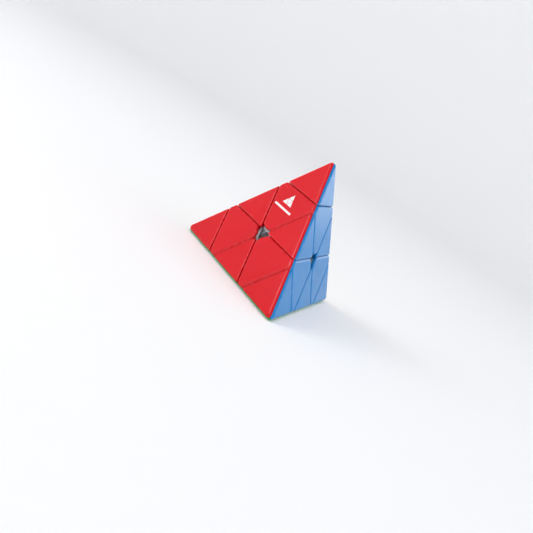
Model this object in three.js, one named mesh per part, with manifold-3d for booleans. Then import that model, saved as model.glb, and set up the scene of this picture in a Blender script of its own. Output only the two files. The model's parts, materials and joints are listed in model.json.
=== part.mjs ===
// A pyramid twisty puzzle: a rounded regular tetrahedron of stickerless plastic. It stands on its green
// face with a corner up. The origin is the puzzle's centre, where its four turn axes cross, and +Z points
// to the top corner. Millimetres.
//
// Each corner is a stack on one turn axis: the post of the spider core, a centre piece that turns on the
// post, a tip that turns on the centre piece, and one screw whose spring presses the stack together. Six
// edge pieces fill the space between the centre pieces. Each has a grey foot that reaches under the centre
// pieces' domes, which is what holds it in. Every moving surface is turned about the axis it moves on: a
// plane outside the ball that the feet move in, and a cone inside that ball.
import * as THREE from "three";
import { ConvexGeometry } from "three/addons/geometries/ConvexGeometry.js";
import { mergeVertices } from "three/addons/utils/BufferGeometryUtils.js";
import Module from "manifold-3d";

// Driving dimensions
const TIP_TO_TIP = 97; // over the rounded corners, along an edge
const EDGE_ROUND = 2.4; // radius on the tetrahedron's edges and corners
const LAYER_CUT = 0.35; // share of an edge, from the far corner, where a layer's cut crosses it
const TIP_CUT = 0.322; // share of an edge, from its own corner, where a tip's cut crosses it
const HALF_GAP = 0.2; // half the gap between pieces that pass each other
const SEAM = 0.1; // gap between the coloured shells of one piece
const FIT = 0.3; // gap between a coloured shell and the grey base inside it
const WALL = 1.8; // wall of a shell on the outer face
const SIDE_WALL = 1.6; // wall of a shell along a cut
const CENTRE_STAR = { from: 3.3, half: 76 }; // a centre shell's blunt corner: how far from a face's centre
const EDGE_STAR = { from: 4.6, half: 52 }; // and half its angle, in degrees; then an edge shell's
const FOOT_BALL = 17.5; // radius of the ball that the feet move in
const FOOT_CONE = 78; // degrees, half angle of a layer's cone inside that ball
const DOME_BALL = 19.1; // outer radius of the grey domes over the feet
const CORE_BALL = 8.6; // radius of the spider's middle
const POST = { radius: 2.9, top: 17 };
const SCREW = { shank: 1.25, head: 2.9, headHeight: 1.9, tipAt: 8.2 };
const CROSS_SLOT = { width: 0.7, length: 3.4, depth: 1.1 };
const SPRING = { radius: 2.1, wire: 0.3, length: 6.2, turns: 4.5, closing: 0.6 };
const TIP_FLOOR = 2.2; // thickness of a tip's grey floor
const TIP_COLLAR = { inner: 2.8, outer: 3.8, height: 1.6 };
const RUNNING = 0.12; // radial clearance of what turns on a post or screw
const HOLLOW = { radius: 5.2, from: 21.5, to: 33.6 }; // weight-saving hollow inside a centre piece's base
const PLUG_DEPTH = 6; // how far an edge piece's grey base reaches up into its coloured shells

// What follows from them. A plane's place is its distance from the origin along a corner's axis.
const innerEdge = TIP_TO_TIP - 2 * EDGE_ROUND;
const FACE = innerEdge / (2 * Math.sqrt(6)) + EDGE_ROUND; // from the centre to each flat face
const HEIGHT = 4 * FACE; // of the sharp tetrahedron
const CORNER = 3 * FACE; // from the centre to each sharp corner
const LAYER_PLANE = CORNER - (1 - LAYER_CUT) * HEIGHT;
const TIP_PLANE = CORNER - TIP_CUT * HEIGHT;
const ROUND_CENTRE = 3 * (FACE - EDGE_ROUND); // from the centre to each corner's rounding centre
const CAVITY_TOP = CORNER - 12; // a tip is solid above this
const FLOOR_TOP = TIP_PLANE + HALF_GAP + TIP_FLOOR;
const SPRING_FOOT = FLOOR_TOP + SPRING.wire + FIT;
const HEAD_AT = SPRING_FOOT + SPRING.length + SPRING.wire + FIT;
const BALL_SEGMENTS = 36; // a multiple of 6, so that a third of a turn maps the ball onto itself
const INNER_SEGMENTS = 24; // for the cones and the middle of the core
const ROD_SEGMENTS = 18;
const PATCH_STEPS = 12; // along each side of a corner's rounded patch
const FAR = 200; // beyond everything

const FINISHES = {
  red: { color: 0xe3212f, roughness: 0.32, metalness: 0 },
  blue: { color: 0x2f74c9, roughness: 0.32, metalness: 0 },
  yellow: { color: 0xf6d31a, roughness: 0.32, metalness: 0 },
  green: { color: 0x1da34d, roughness: 0.32, metalness: 0 },
  grey: { color: 0x5d6266, roughness: 0.45, metalness: 0 },
  steel: { color: 0xb9bcc0, roughness: 0.3, metalness: 1 },
};

// The four corners: unit vectors from the centre, and the colour of the face opposite each.
const UP = new THREE.Vector3(0, 0, 1);
const DOWN = Math.acos(-1 / 3);
const radians = THREE.MathUtils.degToRad;
// Turns three.js's spherical coordinates, which are about +Y from +Z, to polar angles from +Z round from +X.
const UPRIGHT = new THREE.Matrix4().makeBasis(
  new THREE.Vector3(0, 1, 0),
  new THREE.Vector3(0, 0, 1),
  new THREE.Vector3(1, 0, 0),
);
const direction = (polar, azimuth) =>
  new THREE.Vector3().setFromSphericalCoords(1, polar, azimuth).applyMatrix4(UPRIGHT);
const CORNERS = {
  top: { axis: direction(0, 0), opposite: "green" },
  back: { axis: direction(DOWN, radians(90)), opposite: "red" },
  left: { axis: direction(DOWN, radians(210)), opposite: "blue" },
  right: { axis: direction(DOWN, radians(330)), opposite: "yellow" },
};

const wasm = await Module();
wasm.setup();

// --- Solids --------------------------------------------------------------------------------------------

// A closed geometry as a manifold-3d solid.
function solid(geometry) {
  const bare = new THREE.BufferGeometry().setAttribute("position", geometry.getAttribute("position"));
  bare.setIndex(geometry.index);
  const merged = mergeVertices(bare, 1e-4);
  const corners = merged.index.array;
  const triVerts = [];
  for (let i = 0; i < corners.length; i += 3) {
    const [a, b, c] = corners.slice(i, i + 3);
    if (a !== b && b !== c && c !== a) triVerts.push(a, b, c);
  }
  const mesh = (flat) =>
    new wasm.Mesh({
      numProp: 3,
      vertProperties: merged.attributes.position.array,
      triVerts: Uint32Array.from(flat),
    });
  const made = new wasm.Manifold(mesh(triVerts));
  return made.volume() < 0 ? new wasm.Manifold(mesh(triVerts.reverse())) : made;
}

// A manifold-3d solid back as a geometry.
function geometryOf(made) {
  const mesh = made.getMesh();
  const geometry = new THREE.BufferGeometry()
    .setAttribute("position", new THREE.BufferAttribute(mesh.vertProperties, 3))
    .setIndex(new THREE.BufferAttribute(mesh.triVerts, 1));
  const flat = geometry.toNonIndexed();
  flat.computeVertexNormals();
  return flat;
}

// The points p with normal . p <= distance.
const below = (normal, distance) => ({ normal, distance });
const above = (normal, distance) => ({ normal: normal.clone().negate(), distance: -distance });

// The convex solid that a list of planes encloses.
function convex(planes) {
  const corners = [];
  const matrix = new THREE.Matrix3();
  for (let i = 0; i < planes.length; i++)
    for (let j = i + 1; j < planes.length; j++)
      for (let k = j + 1; k < planes.length; k++) {
        const three = [planes[i], planes[j], planes[k]];
        matrix.set(...three.flatMap((p) => p.normal.toArray()));
        if (Math.abs(matrix.determinant()) < 1e-6) continue;
        const point = new THREE.Vector3(...three.map((p) => p.distance)).applyMatrix3(matrix.invert());
        const inside = planes.every((p) => p.normal.dot(point) <= p.distance + 1e-7);
        if (inside && corners.every((c) => c.distanceTo(point) > 1e-5)) corners.push(point);
      }
  return solid(new ConvexGeometry(corners));
}

// A solid turned about +Z from a closed outline of [radius, height] points that starts and ends on the axis.
function turned(outline, segments = INNER_SEGMENTS) {
  const profile = outline.map(([radius, height]) => new THREE.Vector2(radius, height));
  return solid(new THREE.LatheGeometry(profile, segments).rotateX(Math.PI / 2));
}

const rod = (radius, from, to, segments = ROD_SEGMENTS) =>
  turned([[0, from], [radius, from], [radius, to], [0, to]], segments);

const ball = (radius, segments = BALL_SEGMENTS) =>
  solid(new THREE.SphereGeometry(radius, segments, segments / 2).rotateX(Math.PI / 2));

// Puts a solid made about +Z on another axis.
function along(made, axis) {
  const geometry = geometryOf(made);
  geometry.applyQuaternion(new THREE.Quaternion().setFromUnitVectors(UP, axis));
  return solid(geometry);
}

// The cone of one layer inside the ball, grown by the given distance all round.
function layerCone(axis, grown) {
  const half = radians(FOOT_CONE);
  const apex = -grown / Math.sin(half);
  const rim = [FAR * Math.sin(half), apex + FAR * Math.cos(half)];
  return along(turned([[0, apex], rim, [rim[0], FAR], [0, FAR]]), axis);
}

// The tetrahedron with rounded edges and corners: the hull of a patch of a ball at each corner.
function roundedTetrahedron(axes) {
  const points = axes.flatMap((corner) => {
    const faces = axes.filter((a) => a !== corner).map((a) => a.clone().negate());
    const centre = corner.clone().multiplyScalar(ROUND_CENTRE);
    const patch = [];
    for (let i = 0; i <= PATCH_STEPS; i++)
      for (let j = 0; j <= PATCH_STEPS - i; j++) {
        const towards = new THREE.Vector3();
        [i, j, PATCH_STEPS - i - j].forEach((share, n) => towards.addScaledVector(faces[n], share));
        patch.push(towards.normalize().multiplyScalar(EDGE_ROUND).add(centre));
      }
    return patch;
  });
  return solid(new ConvexGeometry(points));
}

// --- The two local frames ------------------------------------------------------------------------------
// A corner's pieces are made about +Z, with the other three corners at 90, 210 and 330 degrees. An edge's
// pieces are made with the middle of the edge on +Z, and the corners it joins towards +X and -X.

const cornerFrame = {
  own: direction(0, 0),
  others: [90, 210, 330].map((azimuth) => direction(DOWN, radians(azimuth))),
};
cornerFrame.axes = [cornerFrame.own, ...cornerFrame.others];

const edgeFrame = {
  ends: [direction(DOWN / 2, 0), direction(DOWN / 2, Math.PI)],
  sides: [direction(Math.PI - DOWN / 2, Math.PI / 2), direction(Math.PI - DOWN / 2, -Math.PI / 2)],
};
edgeFrame.axes = [...edgeFrame.ends, ...edgeFrame.sides];

// In a face, the direction from its centre towards the given corner.
const inFace = (faceAxis, corner) => corner.clone().projectOnPlane(faceAxis).normalize();

// On the near side of the seam between the shells on two faces.
const seamPlane = (faceAxis, otherAxis) => below(faceAxis.clone().sub(otherAxis).normalize(), -SEAM / 2);

// The two planes that blunt a shell's corner, and so leave a star-shaped hole in the middle of a face.
function starCorner(faceAxis, towards, { from, half }) {
  const middle = inFace(faceAxis, towards);
  const across = faceAxis.clone().cross(middle);
  const depth = Math.sin(radians(half));
  const lean = Math.cos(radians(half));
  return [1, -1].map((side) => {
    const normal = middle.clone().multiplyScalar(depth).addScaledVector(across, side * lean);
    return above(normal, from * depth);
  });
}

// --- Corner pieces -------------------------------------------------------------------------------------

const outline = { corner: roundedTetrahedron(cornerFrame.axes), edge: roundedTetrahedron(edgeFrame.axes) };
const [faceA, faceB, faceC] = cornerFrame.others; // the shell is on the face opposite faceA

// One coloured third of a tip: a leaf over one face.
function tipShell() {
  const { own, others } = cornerFrame;
  const body = convex([
    above(own, TIP_PLANE + HALF_GAP),
    below(own, FAR),
    ...others.map((axis) => above(axis, -FAR)),
    seamPlane(faceA, faceB),
    seamPlane(faceA, faceC),
  ]);
  const cavity = convex([
    above(own, TIP_PLANE - 1),
    below(own, CAVITY_TOP),
    ...others.map((axis) => above(axis, WALL - FACE)),
  ]);
  return body.intersect(outline.corner).subtract(cavity);
}

// The floor inside a tip. The screw passes through it and the spring presses on it.
function tipBase() {
  const { own, others } = cornerFrame;
  const floor = convex([
    above(own, TIP_PLANE + HALF_GAP),
    below(own, FLOOR_TOP),
    ...others.map((axis) => above(axis, WALL + FIT - FACE)),
  ]);
  const { inner, outer, height } = TIP_COLLAR;
  const collar = rod(outer, FLOOR_TOP - 1, FLOOR_TOP + height).subtract(rod(inner, FLOOR_TOP, FAR));
  return floor.add(collar).subtract(rod(SCREW.shank + RUNNING, 0, FAR));
}

// One coloured third of a centre piece: a face plate with its share of the side walls.
function centreShell() {
  const { own, others } = cornerFrame;
  const body = convex([
    above(own, LAYER_PLANE + HALF_GAP),
    below(own, TIP_PLANE - HALF_GAP),
    ...others.map((axis) => below(axis, LAYER_PLANE - HALF_GAP)),
    ...others.map((axis) => above(axis, -FAR)),
    ...starCorner(faceA, own, CENTRE_STAR),
    seamPlane(faceA, faceB),
    seamPlane(faceA, faceC),
  ]);
  const cavity = convex([
    above(own, 0),
    below(own, FAR),
    ...others.map((axis) => above(axis, WALL - FACE)),
    ...others.map((axis) => below(axis, LAYER_PLANE - HALF_GAP - SIDE_WALL)),
  ]);
  return body.intersect(outline.corner).subtract(cavity).subtract(ball(DOME_BALL + HALF_GAP));
}

// The grey base of a centre piece: a bell that turns on the post, a dome over the feet, and a stem that
// carries the coloured shells.
function centreBase() {
  const { own, others } = cornerFrame;
  const inShells = others.map((axis) => above(axis, WALL + FIT - FACE));
  const dome = convex([
    above(own, LAYER_PLANE + HALF_GAP),
    below(own, FAR),
    ...inShells,
    ...others.map((axis) => below(axis, LAYER_PLANE - HALF_GAP)),
  ]).intersect(ball(DOME_BALL));
  const stem = convex([
    above(own, LAYER_PLANE + HALF_GAP),
    below(own, TIP_PLANE - HALF_GAP),
    ...inShells,
    ...others.map((axis) => below(axis, LAYER_PLANE - HALF_GAP - SIDE_WALL - FIT)),
  ]);
  const bell = ball(FOOT_BALL).intersect(
    turned([[0, CORE_BALL], [FOOT_BALL, 0.6 * FOOT_BALL], [FOOT_BALL, FAR], [0, FAR]]),
  );
  const passing = others
    .map((axis) => layerCone(axis, HALF_GAP).intersect(ball(FOOT_BALL + HALF_GAP)))
    .reduce((all, one) => all.add(one));
  return dome
    .add(stem)
    .add(bell)
    .subtract(passing)
    .subtract(ball(CORE_BALL + 2 * HALF_GAP, INNER_SEGMENTS))
    .subtract(rod(POST.radius + RUNNING, 0, POST.top + FIT))
    .subtract(rod(SCREW.shank + RUNNING, 0, FAR))
    .subtract(rod(HOLLOW.radius, HOLLOW.from, HOLLOW.to));
}

// A cross-head screw, from its tip inside the post to its head inside the tip.
function screw() {
  const { shank, head, headHeight, tipAt } = SCREW;
  const { width, length, depth } = CROSS_SLOT;
  const top = HEAD_AT + headHeight;
  const body = turned(
    [
      [0, tipAt],
      [0.5 * shank, tipAt],
      [shank, tipAt + 1.5],
      [shank, HEAD_AT],
      [head, HEAD_AT],
      [head, top - 0.8],
      [0.75 * head, top - 0.15],
      [0, top],
    ],
    ROD_SEGMENTS,
  );
  const blade = (x, y) => solid(new THREE.BoxGeometry(x, y, 2 * depth).translate(0, 0, top));
  return body.subtract(blade(length, width).add(blade(width, length)));
}

// The line of a compression spring's wire. Its pitch is smaller at both ends, where the turns close up.
class SpringLine extends THREE.Curve {
  getPoint(t, target = new THREE.Vector3()) {
    const angle = 2 * Math.PI * SPRING.turns * t;
    const risen = t - (SPRING.closing * Math.sin(2 * Math.PI * t)) / (2 * Math.PI);
    return target.set(
      SPRING.radius * Math.cos(angle),
      SPRING.radius * Math.sin(angle),
      SPRING_FOOT + SPRING.length * risen,
    );
  }
}

function spring() {
  const wire = new THREE.Shape().absarc(0, 0, SPRING.wire, 0, 2 * Math.PI);
  const stepsPerTurn = 10;
  return solid(
    new THREE.ExtrudeGeometry(wire, {
      extrudePath: new SpringLine(),
      steps: Math.round(SPRING.turns * stepsPerTurn),
      curveSegments: 3,
    }),
  );
}

// --- Edge pieces ---------------------------------------------------------------------------------------

// One coloured half of an edge piece.
function edgeShell() {
  const { ends, sides } = edgeFrame;
  const [near, far] = sides; // the shell is on the face opposite near
  const body = convex([
    ...ends.map((axis) => above(axis, LAYER_PLANE + HALF_GAP)),
    ...sides.map((axis) => above(axis, -FAR)),
    below(UP, FAR),
    ...starCorner(near, UP, EDGE_STAR),
    seamPlane(near, far),
  ]);
  const cavity = convex([
    ...ends.map((axis) => above(axis, LAYER_PLANE + HALF_GAP + SIDE_WALL)),
    ...sides.map((axis) => above(axis, WALL - FACE)),
  ]);
  return body.intersect(outline.edge).subtract(cavity).subtract(ball(DOME_BALL + HALF_GAP));
}

// The grey foot of an edge piece: a plug inside the coloured shells, a neck, and the foot that the centre
// pieces' domes hold in.
function edgeFoot() {
  const { ends, sides } = edgeFrame;
  const inShells = sides.map((axis) => above(axis, WALL + FIT - FACE));
  const neck = convex([
    ...ends.map((axis) => above(axis, LAYER_PLANE + HALF_GAP)),
    ...inShells,
    below(UP, FAR),
  ]).intersect(ball(DOME_BALL));
  const plug = convex([
    ...ends.map((axis) => above(axis, LAYER_PLANE + HALF_GAP + SIDE_WALL + FIT)),
    ...inShells,
    below(UP, DOME_BALL + PLUG_DEPTH),
  ]);
  const inLayers = layerCone(ends[0], -HALF_GAP).intersect(layerCone(ends[1], -HALF_GAP));
  const pastLayers = layerCone(sides[0], HALF_GAP).add(layerCone(sides[1], HALF_GAP));
  const foot = ball(FOOT_BALL - HALF_GAP).intersect(inLayers).subtract(pastLayers);
  return neck.add(plug).add(foot).subtract(ball(CORE_BALL + 2 * HALF_GAP, INNER_SEGMENTS));
}

// --- The core ------------------------------------------------------------------------------------------

function core() {
  const posts = cornerFrame.axes.map((axis) => along(rod(POST.radius, 0, POST.top), axis));
  const holes = cornerFrame.axes.map((axis) =>
    along(rod(SCREW.shank + RUNNING, SCREW.tipAt - 1, POST.top + 1), axis),
  );
  const whole = posts.reduce((all, post) => all.add(post), ball(CORE_BALL, INNER_SEGMENTS));
  return holes.reduce((all, hole) => all.subtract(hole), whole);
}

// --- Assembly ------------------------------------------------------------------------------------------

const materials = Object.fromEntries(
  Object.entries(FINISHES).map(([name, finish]) => [name, new THREE.MeshStandardMaterial(finish)]),
);
const makers = { tipShell, tipBase, centreShell, centreBase, screw, spring, edgeShell, edgeFoot, core };
const shapes = Object.fromEntries(Object.entries(makers).map(([name, make]) => [name, geometryOf(make())]));

function mesh(name, shape, material, turn = 0) {
  const made = new THREE.Mesh(shapes[shape], materials[material]);
  made.name = name;
  made.rotation.z = turn;
  return made;
}

// A group whose +Z is the given axis and whose +Y (or +X) leans towards the given corner.
function groupOn(zAxis, towards, letter) {
  const lean = towards.clone().projectOnPlane(zAxis).normalize();
  const x = letter === "x" ? lean : lean.clone().cross(zAxis);
  const y = zAxis.clone().cross(x);
  const group = new THREE.Group();
  group.quaternion.setFromRotationMatrix(new THREE.Matrix4().makeBasis(x, y, zAxis));
  return group;
}

// The other three corners, anticlockwise as seen from outside the given one.
function othersOf(name) {
  const [a, b, c] = Object.keys(CORNERS).filter((other) => other !== name);
  const turn = CORNERS[a].axis.clone().cross(CORNERS[b].axis).dot(CORNERS[name].axis);
  return turn > 0 ? [a, b, c] : [a, c, b];
}

function cornerGroup(name) {
  const others = othersOf(name);
  const group = groupOn(CORNERS[name].axis, CORNERS[others[0]].axis, "y");
  group.add(mesh(`screw_${name}`, "screw", "steel"));
  group.add(mesh(`spring_${name}`, "spring", "steel"));
  group.add(mesh(`tip_${name}_base`, "tipBase", "grey"));
  group.add(mesh(`center_${name}_base`, "centreBase", "grey"));
  others.forEach((other, n) => {
    const colour = CORNERS[other].opposite;
    const turn = (n * 2 * Math.PI) / 3;
    group.add(mesh(`tip_${name}_${colour}`, "tipShell", colour, turn));
    group.add(mesh(`center_${name}_${colour}`, "centreShell", colour, turn));
  });
  return group;
}

function edgeGroup(one, two) {
  const middle = CORNERS[one].axis.clone().add(CORNERS[two].axis).normalize();
  const group = groupOn(middle, CORNERS[one].axis, "x");
  const across = new THREE.Vector3(0, 1, 0).applyQuaternion(group.quaternion);
  group.add(mesh(`edge_${one}_${two}_foot`, "edgeFoot", "grey"));
  Object.entries(CORNERS)
    .filter(([name]) => name !== one && name !== two)
    .forEach(([, corner]) => {
      const turn = corner.axis.dot(across) > 0 ? 0 : Math.PI;
      group.add(mesh(`edge_${one}_${two}_${corner.opposite}`, "edgeShell", corner.opposite, turn));
    });
  return group;
}

const puzzle = new THREE.Group();
puzzle.add(mesh("core_spider", "core", "grey"));
const names = Object.keys(CORNERS);
names.forEach((name) => puzzle.add(cornerGroup(name)));
names.forEach((one, n) => names.slice(n + 1).forEach((two) => puzzle.add(edgeGroup(one, two))));

export default puzzle;
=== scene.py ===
"""Looks of a pyramid twisty puzzle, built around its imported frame.

The puzzle is a tetrahedron with rounded edges, made of corner tips, centre pieces and edge pieces.
Each of them is a grey moulding that carries one coloured shell for each face it shows. A shell of
each kind is modelled once in a local frame and then placed on every corner or edge. Lengths inside
the modelling functions are in millimetres, and become metres when a mesh is placed.
"""

import json
import math

import bmesh
import bpy
from mathutils import Matrix, Vector
from mathutils.bvhtree import BVHTree


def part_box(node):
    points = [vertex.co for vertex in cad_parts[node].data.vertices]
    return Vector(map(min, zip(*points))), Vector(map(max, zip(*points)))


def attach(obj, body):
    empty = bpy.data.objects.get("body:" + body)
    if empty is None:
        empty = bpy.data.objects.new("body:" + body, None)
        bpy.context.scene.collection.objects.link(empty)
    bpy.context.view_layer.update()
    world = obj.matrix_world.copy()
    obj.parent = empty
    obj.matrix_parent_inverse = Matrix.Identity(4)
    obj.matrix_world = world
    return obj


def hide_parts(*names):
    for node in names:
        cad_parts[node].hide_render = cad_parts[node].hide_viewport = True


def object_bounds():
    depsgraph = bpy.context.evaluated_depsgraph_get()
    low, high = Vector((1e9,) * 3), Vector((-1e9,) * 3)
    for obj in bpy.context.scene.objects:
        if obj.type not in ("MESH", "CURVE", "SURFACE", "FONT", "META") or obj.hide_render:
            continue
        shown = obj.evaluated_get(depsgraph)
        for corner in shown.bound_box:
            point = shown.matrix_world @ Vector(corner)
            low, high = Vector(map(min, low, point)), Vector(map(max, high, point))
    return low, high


bl_info = {
    "name": "Pyramid Twisty Puzzle",
    "version": (1, 0, 0),
    "blender": (4, 5, 0),
    "location": "3D View > Sidebar > Puzzle",
    "description": "Models the shells, inner parts, finishes and stage of a pyramid twisty puzzle",
    "category": "Add Mesh",
}

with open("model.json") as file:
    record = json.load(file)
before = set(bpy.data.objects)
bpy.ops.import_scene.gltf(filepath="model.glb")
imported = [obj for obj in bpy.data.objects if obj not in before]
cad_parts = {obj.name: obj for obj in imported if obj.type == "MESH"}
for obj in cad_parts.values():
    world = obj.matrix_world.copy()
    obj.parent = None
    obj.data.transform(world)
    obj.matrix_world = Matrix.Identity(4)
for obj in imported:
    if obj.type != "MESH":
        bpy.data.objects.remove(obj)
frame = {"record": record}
cad_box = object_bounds()

# --- Sizes that come from the frame, in millimetres -----------------------------------------------

MM = 0.001


def low(node):
    """The height of a node's lowest point."""
    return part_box(node)[0].z / MM


def high(node):
    """The height of a node's highest point."""
    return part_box(node)[1].z / MM


EDGE_TO_FACE = 2 * math.sqrt(6)  # a tetrahedron's edge, over the distance from its centre to a face
FACE = -cad_box[0].z / MM  # from the centre to each flat face
TIP_TO_TIP = (cad_box[1].x - cad_box[0].x) / MM
EDGE_ROUND = (EDGE_TO_FACE * FACE - TIP_TO_TIP) / (EDGE_TO_FACE - 2)  # radius of every edge
TIP_FLOOR = low("tip_top_base")
CENTRE_TOP = high("center_top_base")
CENTRE_FLOOR = low("center_top_base")
CUT_GAP = TIP_FLOOR - CENTRE_TOP  # between pieces that pass each other
CENTRE_SIDE = CENTRE_FLOOR - CUT_GAP  # where the other corners' layer cuts bound a centre piece
FAR = 4 * FACE  # beyond everything

# How finely the shapes are made
SHARP_ANGLE = math.radians(33)  # edges that turn more than this stay sharp
WELD = 1e-3  # points closer than this become one point
BALL_STEPS = 96  # facets round a ball or a large turned solid
ROD_STEPS = 48  # facets round a post, a screw or a hole
SEAM_LIP_STEPS = 2  # facets across the rounding along a seam
BAR_END_STEPS = 8  # facets round a corner of the printed bar
THREAD_STEPS = 24  # steps in one turn of a screw's thread or a spring

# Kinds of faces while a shell is being modelled
OUTSIDE, CUT, SEAM = range(3)

# The seamless floor, in metres
BOWL_DROP = 0.0001  # how far it lies below the puzzle, so that the two never coincide
BOWL_NEAR = 0.001  # shorter rays pass through it, so that the underside isn't black from below
BOWL_FLAT = 0.9  # radius of the flat part
BOWL_BEND = 0.5  # radius of the bend into the wall
BOWL_WALL = 0.4  # height of the wall above the bend
BOWL_STEPS = 12  # facets across the bend
BOWL_TURNS = 64  # facets round the bowl

# Colours of the floor and the surround, and the directions in which two of the lights stand
PAPER = (0.9, 0.9, 0.91, 1)
DAYLIGHT = (0.93, 0.96, 1.0, 1)
KEY_TOWARDS = (-0.32, -0.81, 0.50)
STRIP_TOWARDS = (-0.2, 0.97, 0.2)

# Sizes of the hidden parts, in millimetres
FIT = 0.3  # between a shell and the moulding inside it
RUNNING = 0.12  # clearance of what turns on a post or a screw
DOME_BALL = 19.1  # outside of the domes that hold the feet in
FOOT_BALL = 17.5  # the ball that the feet move in
FOOT_CONE = math.radians(78)  # half the angle of a layer's cone inside that ball
CORE_BALL = 8.6
CORE_SPACE = CORE_BALL + CUT_GAP  # what keeps clear of the core
POST_RADIUS = 2.9
POST_TOP = 17
PLUG_DEPTH = 6  # how far an edge's foot reaches up into its shells
HOLLOW = (5.2, 21.5, 33.6)  # radius, from and to, of the hollow in a centre piece's moulding
TIP_PLATE = 2.2  # thickness of a tip's floor
EASE = 0.25  # rounding on a tip's floor
EASE_RING = 0.2  # chamfer on the ring that centres the spring
EASE_POST = 0.3  # chamfer on the core's posts
COLLAR = (2.8, 3.8, 1.6)  # inner radius, outer radius and height of the ring that centres the spring
SHANK = 1.25  # radius of a screw's shank
SCREW_TIP = low("screw_top")
SCREW_TOP = high("screw_top")
SCREW_HEAD = 2.9  # radius
HEAD_HEIGHT = 1.9
THREAD = (1.06, 1.3, 0.7)  # root radius, crest radius and pitch
CROSS = (3.4, 0.7, 1.1)  # length, width and depth of the cross in a screw's head
WIRE = 0.3  # radius of a spring's wire
COIL = 2.1  # radius of a spring
SPRING_TURNS = 4.5
SPRING_CLOSING = 0.6  # how much the turns close up at both ends
SPRING_FOOT = low("spring_top") + WIRE
SPRING_LENGTH = high("spring_top") - WIRE - SPRING_FOOT

# --- Directions -----------------------------------------------------------------------------------

UP = Vector((0, 0, 1))
CORNER_ANGLE = math.acos(-1 / 3)  # between two corners, seen from the centre
EDGE_ANGLE = CORNER_ANGLE / 2  # from an edge's middle to its ends
FACE_TURN = 2 * math.pi / 3  # from one face to the next, round a corner


def direction(polar, azimuth):
    """The unit vector at an angle from +Z and an angle round it from +X."""
    flat = math.sin(polar)
    return Vector((flat * math.cos(azimuth), flat * math.sin(azimuth), math.cos(polar)))


AXES = {
    "top": direction(0, 0),
    "back": direction(CORNER_ANGLE, math.radians(90)),
    "left": direction(CORNER_ANGLE, math.radians(210)),
    "right": direction(CORNER_ANGLE, math.radians(330)),
}
OPPOSITE = {"top": "green", "back": "red", "left": "blue", "right": "yellow"}

# A corner's pieces are modelled about +Z, and an edge's with the middle of the edge on +Z and its ends
# towards +X and -X. A shell is modelled on the face opposite the first of the other corners.
CORNER_OTHERS = [direction(CORNER_ANGLE, math.radians(90) + n * FACE_TURN) for n in range(3)]
EDGE_ENDS = [direction(EDGE_ANGLE, 0), direction(EDGE_ANGLE, math.pi)]
EDGE_SIDES = [direction(math.pi - EDGE_ANGLE, side * math.pi / 2) for side in (1, -1)]


def in_face(face_axis, towards):
    """The direction within a face towards a point, where the face is the one opposite face_axis."""
    return (towards - face_axis * towards.dot(face_axis)).normalized()


def others_of(name):
    """The other three corners, anticlockwise as seen from outside the named one."""
    a, b, c = (other for other in AXES if other != name)
    return [a, b, c] if AXES[a].cross(AXES[b]).dot(AXES[name]) > 0 else [a, c, b]


def corner_frame(name, turn=0.0):
    """The matrix from a corner's local frame to the puzzle's, turned round the corner."""
    z = AXES[name]
    y = in_face(z, AXES[others_of(name)[0]])
    return Matrix((y.cross(z), y, z)).transposed().to_4x4() @ Matrix.Rotation(turn, 4, "Z")


def edge_frame(one, two, turn=0.0):
    """The matrix from an edge's local frame to the puzzle's, turned round the edge's middle."""
    z = (AXES[one] + AXES[two]).normalized()
    x = in_face(z, AXES[one])
    return Matrix((x, z.cross(x), z)).transposed().to_4x4() @ Matrix.Rotation(turn, 4, "Z")


# --- Settings that a user would change ------------------------------------------------------------


def setting(name, description, default, **kind):
    """A setting that is one number."""
    return bpy.props.FloatProperty(name=name, description=description, default=default, **kind)


def angle_setting(name, description, degrees):
    """A setting that is an angle."""
    return setting(name, description, math.radians(degrees), subtype="ANGLE")


class PuzzleShape(bpy.types.PropertyGroup):
    """Sizes of the coloured shells, in millimetres."""

    wall: setting("Face wall", "Thickness of a shell on its face", 1.8)
    side_wall: setting("Side wall", "Thickness of a shell along a cut", 1.6)
    snug: setting("Snugness", "How far each cut face reaches into the gap beside it", 0.05)
    lip: setting("Lip", "Rounding along the cuts", 1.1)
    seam: setting("Seam", "Gap between two colours on one piece", 0.1)
    seam_lip: setting("Seam lip", "Rounding along a seam", 0.12)
    round_steps: bpy.props.IntProperty(
        name="Edge steps", description="Facets across a rounded edge", default=13, min=3
    )
    lip_steps: bpy.props.IntProperty(
        name="Lip steps", description="Facets across a lip", default=5, min=1
    )
    centre_star: setting("Centre corner", "From a face's middle to a centre piece's corner", 3.3)
    centre_star_half: angle_setting(
        "Centre corner angle", "Half the angle of a centre piece's corner at the hole", 76
    )
    edge_star: setting("Edge corner", "From a face's middle to an edge piece's corner", 4.6)
    edge_star_half: angle_setting(
        "Edge corner angle", "Half the angle of an edge piece's corner at the hole", 52
    )
    dome: setting("Dome clearance", "Radius of the hollow over the grey domes", 19.3)
    tip_depth: setting("Tip solid", "Length of a tip that is solid below its sharp corner", 12.0)


def colour_property(name, default):
    """A colour setting with a description in the same words for every finish."""
    return bpy.props.FloatVectorProperty(
        name=name,
        description=f"Base colour of what is {name.lower()}",
        subtype="COLOR",
        size=3,
        min=0,
        max=1,
        default=default,
    )


class PuzzleColours(bpy.types.PropertyGroup):
    """Linear base colours of the plastics and the metal."""

    red: colour_property("Red", (0.66, 0.0078, 0.015))
    blue: colour_property("Blue", (0.006, 0.225, 0.58))
    yellow: colour_property("Yellow", (0.83, 0.6, 0.01))
    green: colour_property("Green", (0.012, 0.33, 0.07))
    grey: colour_property("Grey", (0.4, 0.43, 0.44))
    steel: colour_property("Steel", (0.62, 0.61, 0.59))
    ink: colour_property("Ink", (0.86, 0.86, 0.86))


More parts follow.
